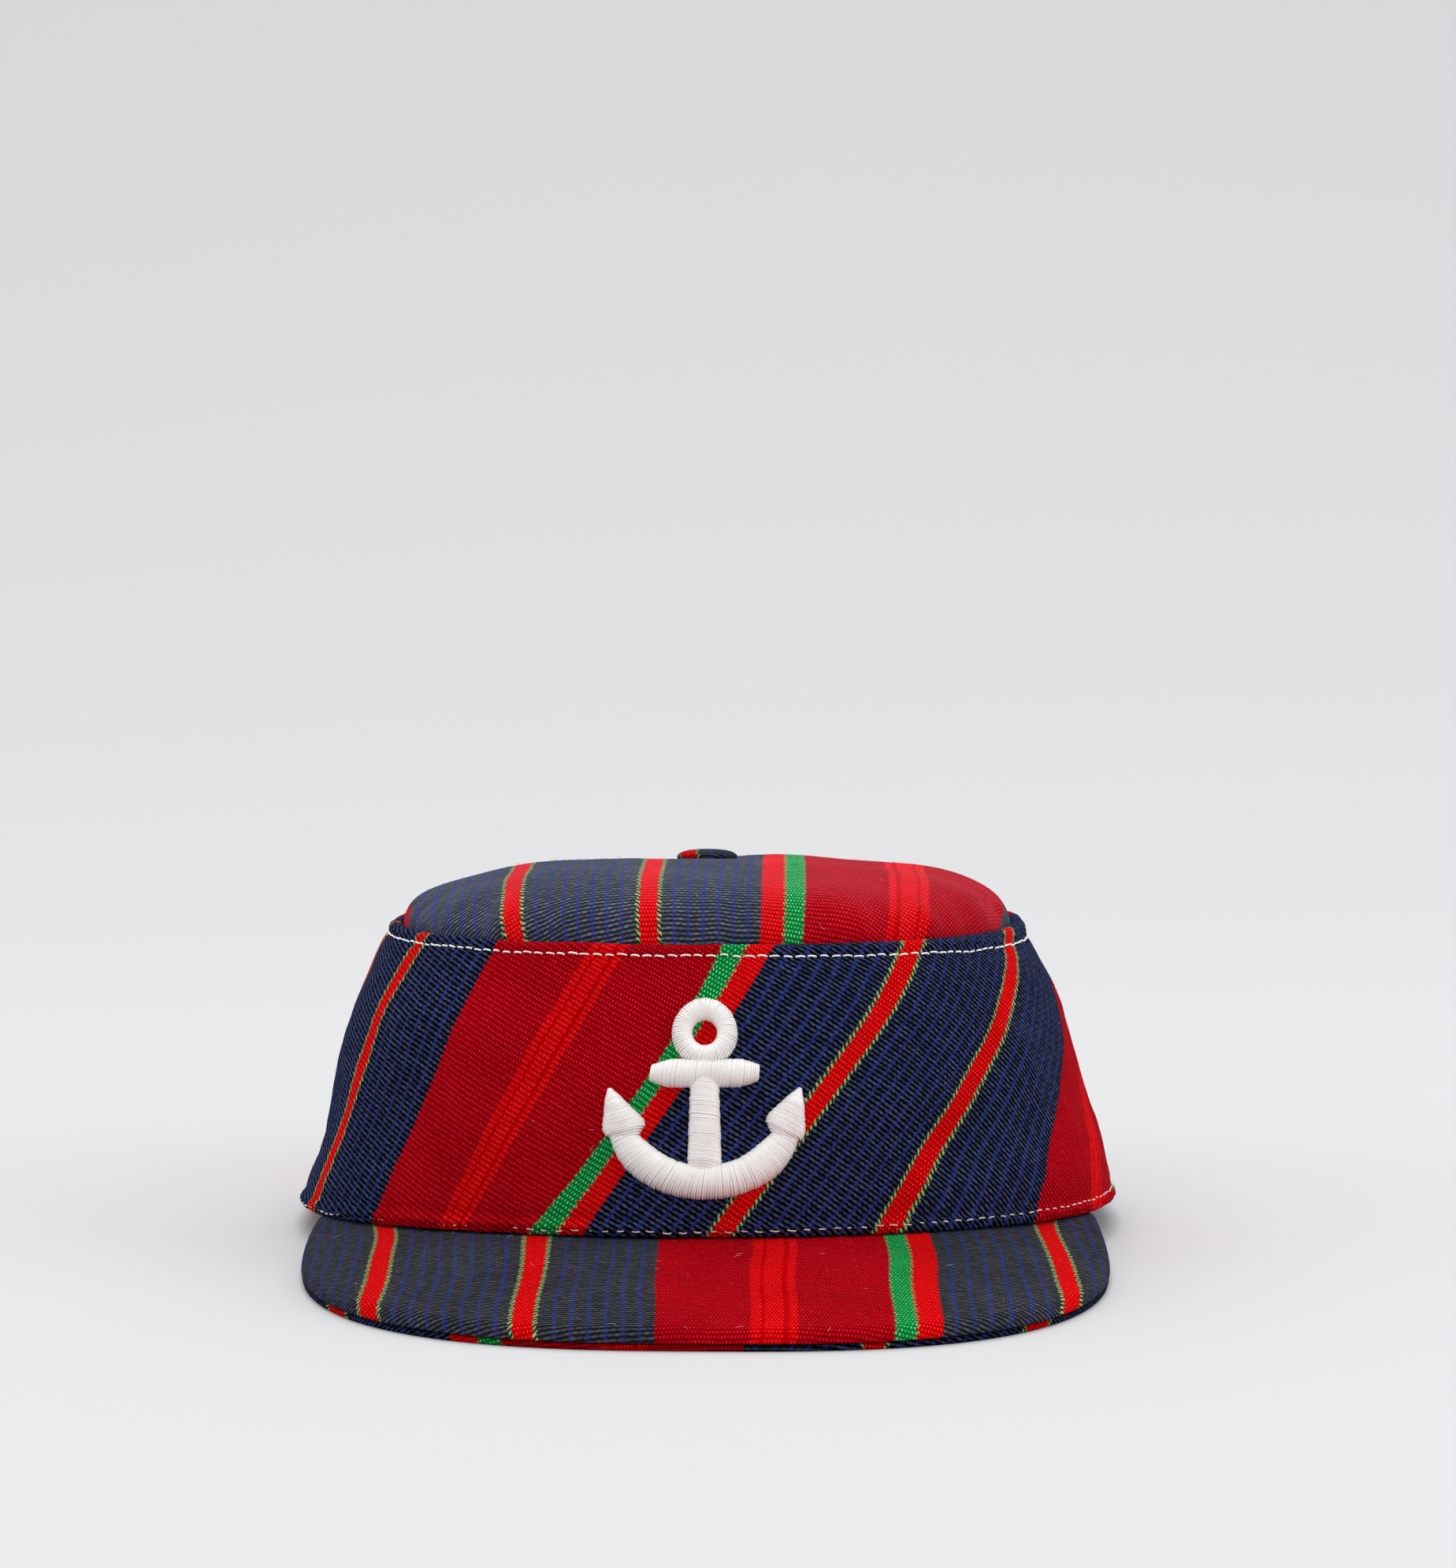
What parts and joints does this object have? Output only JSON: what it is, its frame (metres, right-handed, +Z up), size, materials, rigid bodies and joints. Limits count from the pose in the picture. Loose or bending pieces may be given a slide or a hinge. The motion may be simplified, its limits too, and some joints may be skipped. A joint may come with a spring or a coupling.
{
  "type": "pillbox cap with a short visor",
  "caption": "Soft pillbox cap of striped cloth: tapered hollow wall, domed top with a covered button, short visor and a raised white embroidered motif on the front.",
  "frame": {"origin": "middle of the cap's footprint on the surface it rests on", "axes": "+Z up, -Y the way the visor points, +X to the right as seen from the front"},
  "size_m": [0.1767, 0.2528, 0.0796],
  "materials": {
    "bias_cloth": "ribbed striped weave, matte",
    "top_cloth": "striped weave, matte with fuzz",
    "button_cloth": "striped weave, matte",
    "visor_cloth": "striped weave, matte with fuzz",
    "under_cloth": "striped weave, matte",
    "white_thread": "satin-stitched white thread"
  },
  "bodies": {
    "root": {"side_band": "bias_cloth", "top_panel": "top_cloth", "top_button": "button_cloth", "visor_top": "visor_cloth", "visor_under": "under_cloth", "front_embroidery": "white_thread"}
  },
  "joints": []
}
